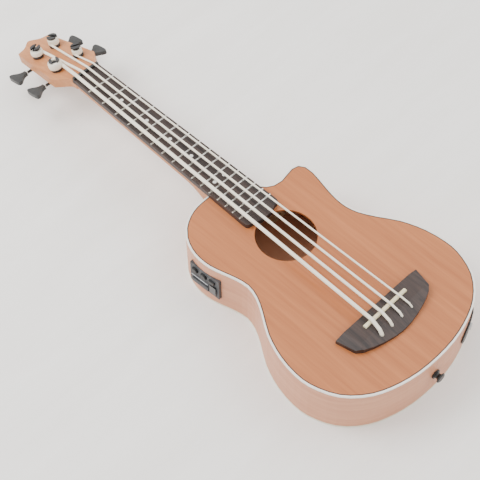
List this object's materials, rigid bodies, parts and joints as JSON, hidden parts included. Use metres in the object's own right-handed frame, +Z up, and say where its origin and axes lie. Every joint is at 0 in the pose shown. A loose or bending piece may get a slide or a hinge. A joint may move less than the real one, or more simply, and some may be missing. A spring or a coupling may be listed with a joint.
{
  "type": "bass ukulele",
  "caption": "Bass ukulele with a rounded cutaway body, mahogany top, thick rubber strings, open tuners with flared keys and a side panel of controls.",
  "frame": {"origin": "on the flat back under the body's middle line, level with the saddle's front", "axes": "+X to the treble side (cutaway), +Y along the neck to the headstock, +Z up out of the soundboard"},
  "size_m": [0.2556, 0.7361, 0.0875],
  "materials": {
    "top_mahogany": "satin, grain along the length",
    "side_mahogany": "satin",
    "neck_mahogany": "satin",
    "rosewood": "satin, dark",
    "inner_wood": "raw",
    "white_binding": "gloss",
    "cream_binding": "gloss",
    "fret_metal": "polished",
    "nut_black": "satin",
    "saddle_cream": "satin",
    "string_white": "soft satin",
    "tuner_black": "satin black",
    "gear_metal": "machined",
    "panel_grey": "fine texture",
    "control_black": "satin",
    "plain_steel": "plated",
    "lead_black": "satin"
  },
  "bodies": {
    "root": {"soundboard": "top_mahogany", "rib_bass": "side_mahogany", "rib_treble": "side_mahogany", "back_plate": "side_mahogany", "neck": "neck_mahogany", "fretboard": "rosewood", "bridge": "rosewood", "lining_top": "inner_wood", "lining_back": "inner_wood", "neck_block": "inner_wood", "tail_block": "inner_wood", "brace_upper_face": "inner_wood", "brace_lower_face": "inner_wood", "back_brace": "inner_wood", "bridge_plate": "inner_wood", "binding_top": "white_binding", "binding_back": "cream_binding", "frets": "fret_metal", "nut": "nut_black", "saddle": "saddle_cream", "string_e": "string_white", "string_a": "string_white", "string_d": "string_white", "string_g": "string_white", "bushing_e": "tuner_black", "bushing_a": "tuner_black", "bushing_d": "tuner_black", "bushing_g": "tuner_black", "tuner_plate_e": "tuner_black", "tuner_plate_a": "tuner_black", "tuner_plate_d": "tuner_black", "tuner_plate_g": "tuner_black", "strap_button": "tuner_black", "preamp_housing": "panel_grey", "jack_plate": "control_black", "jack_socket": "plain_steel", "pickup_lead": "lead_black", "jack_lead": "lead_black", "saddle_pickup": "lead_black"},
    "tuner_key_e": {"worm_e": "tuner_black", "key_e": "tuner_black"},
    "tuner_post_e": {"post_e": "tuner_black", "gear_e": "gear_metal"},
    "tuner_key_a": {"worm_a": "tuner_black", "key_a": "tuner_black"},
    "tuner_post_a": {"post_a": "tuner_black", "gear_a": "gear_metal"},
    "tuner_key_d": {"worm_d": "tuner_black", "key_d": "tuner_black"},
    "tuner_post_d": {"post_d": "tuner_black", "gear_d": "gear_metal"},
    "tuner_key_g": {"worm_g": "tuner_black", "key_g": "tuner_black"},
    "tuner_post_g": {"post_g": "tuner_black", "gear_g": "gear_metal"},
    "volume_knob": {"knob_volume": "control_black"},
    "tone_knob": {"knob_tone": "control_black"},
    "tuner_button": {"tuner_button": "control_black"},
    "battery_drawer": {"battery_tray": "panel_grey", "battery_cell": "plain_steel"}
  },
  "joints": [
    {"name": "key_turn_e", "type": "hinge", "parent": "root", "child": "tuner_key_e", "pos_m": [-0.03, 0.55923, 0.04613], "axis": [-1, 0, 0], "continuous": true},
    {"name": "post_turn_e", "type": "hinge", "parent": "root", "child": "tuner_post_e", "pos_m": [-0.0185, 0.55442, 0.06605], "axis": [0, 0.2588, 0.9659], "continuous": true},
    {"name": "key_turn_a", "type": "hinge", "parent": "root", "child": "tuner_key_a", "pos_m": [-0.03, 0.60608, 0.03358], "axis": [-1, 0, 0], "continuous": true},
    {"name": "post_turn_a", "type": "hinge", "parent": "root", "child": "tuner_post_a", "pos_m": [-0.0143, 0.60127, 0.0535], "axis": [0, 0.2588, 0.9659], "continuous": true},
    {"name": "key_turn_d", "type": "hinge", "parent": "root", "child": "tuner_key_d", "pos_m": [0.03, 0.60608, 0.03358], "axis": [1, 0, 0], "continuous": true},
    {"name": "post_turn_d", "type": "hinge", "parent": "root", "child": "tuner_post_d", "pos_m": [0.0143, 0.60127, 0.0535], "axis": [0, 0.2588, 0.9659], "continuous": true},
    {"name": "key_turn_g", "type": "hinge", "parent": "root", "child": "tuner_key_g", "pos_m": [0.03, 0.55923, 0.04613], "axis": [1, 0, 0], "continuous": true},
    {"name": "post_turn_g", "type": "hinge", "parent": "root", "child": "tuner_post_g", "pos_m": [0.0185, 0.55442, 0.06605], "axis": [0, 0.2588, 0.9659], "continuous": true},
    {"name": "volume_turn", "type": "hinge", "parent": "root", "child": "volume_knob", "pos_m": [-0.09763, 0.20544, 0.0435], "axis": [-0.9983, -0.0587, 0], "range_deg": [-150, 150]},
    {"name": "tone_turn", "type": "hinge", "parent": "root", "child": "tone_knob", "pos_m": [-0.09681, 0.19147, 0.0435], "axis": [-0.9983, -0.0587, 0], "range_deg": [-150, 150]},
    {"name": "button_press", "type": "slide", "parent": "root", "child": "tuner_button", "axis": [0.9983, 0.0587, 0], "range_m": [0, 0.001], "stiffness_N_per_m": 300},
    {"name": "battery_slide", "type": "slide", "parent": "root", "child": "battery_drawer", "axis": [-0.9983, -0.0587, 0], "range_m": [0, 0.022]}
  ],
  "couplings": [
    {"joint": "post_turn_e", "follows": "key_turn_e", "ratio": 0.05},
    {"joint": "post_turn_a", "follows": "key_turn_a", "ratio": 0.05},
    {"joint": "post_turn_d", "follows": "key_turn_d", "ratio": 0.05},
    {"joint": "post_turn_g", "follows": "key_turn_g", "ratio": 0.05}
  ]
}
